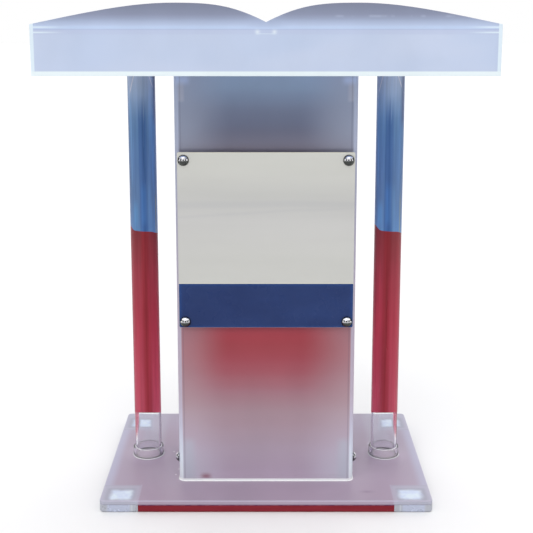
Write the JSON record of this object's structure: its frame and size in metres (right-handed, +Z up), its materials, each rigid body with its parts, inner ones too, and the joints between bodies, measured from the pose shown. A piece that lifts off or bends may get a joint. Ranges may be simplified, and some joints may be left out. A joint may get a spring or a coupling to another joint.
{
  "type": "lectern podium",
  "caption": "Acrylic lectern with an open-book front panel, a sloping reading desk, a frosted U-shaped column with a sign board, clear side tubes and a footed base plate.",
  "frame": {"origin": "on the floor, in the middle of the object's box, under the middle of the base", "axes": "+Z up; +Y towards the speaker, so the audience stands on the -Y side; +X to the audience's right"},
  "size_m": [1, 0.53, 1.15],
  "materials": {
    "frosted_desk": "frosted acrylic sheet, sanded satin face, polished edges",
    "frosted_column": "frosted acrylic sheet, bent, polished edges",
    "frosted_base": "frosted acrylic sheet, polished edges",
    "clear_acrylic": "clear polished acrylic",
    "pale_block": "clear acrylic block with sawn faces",
    "blue_film": "blue film, smooth",
    "red_film": "red film, smooth",
    "red_strip": "red acrylic strip, satin",
    "sign_white": "white acrylic, glossy",
    "sign_blue": "blue film, glossy",
    "chrome_caps": "polished chrome plate",
    "steel_fasteners": "plated steel",
    "soft_rings": "clear soft plastic",
    "white_pad": "white rubber"
  },
  "bodies": {
    "root": {"base_kick_strip": "red_strip", "base_plate": "frosted_base", "base_screws": "steel_fasteners", "bracket_screws": "steel_fasteners", "column_bottom_block_left": "pale_block", "column_bottom_block_right": "pale_block", "column_shell": "frosted_column", "column_side_bolts": "steel_fasteners", "column_side_caps": "chrome_caps", "column_side_rings": "soft_rings", "column_top_bracket_left": "pale_block", "column_top_bracket_right": "pale_block", "desk_bottom_plate": "frosted_desk", "desk_front_panel": "frosted_desk", "desk_paper_stop": "frosted_desk", "desk_reading_plate": "frosted_desk", "desk_side_left": "frosted_desk", "desk_side_right": "frosted_desk", "foot_front_left": "clear_acrylic", "foot_front_right": "clear_acrylic", "foot_pad_front_left": "white_pad", "foot_pad_front_right": "white_pad", "foot_pad_rear_left": "white_pad", "foot_pad_rear_right": "white_pad", "foot_rear_left": "clear_acrylic", "foot_rear_right": "clear_acrylic", "sign_band": "sign_blue", "sign_board": "sign_white", "sign_dome_caps": "chrome_caps", "sign_nuts": "steel_fasteners", "sign_rings": "soft_rings", "sign_spacers": "clear_acrylic", "sign_studs": "steel_fasteners", "sign_washers": "steel_fasteners", "tube_collar_left": "clear_acrylic", "tube_collar_right": "clear_acrylic", "tube_film_blue_left": "blue_film", "tube_film_blue_right": "blue_film", "tube_film_red_left": "red_film", "tube_film_red_right": "red_film", "tube_left": "clear_acrylic", "tube_right": "clear_acrylic", "tube_top_plug_left": "clear_acrylic", "tube_top_plug_right": "clear_acrylic", "tube_top_screws": "steel_fasteners"}
  },
  "joints": []
}
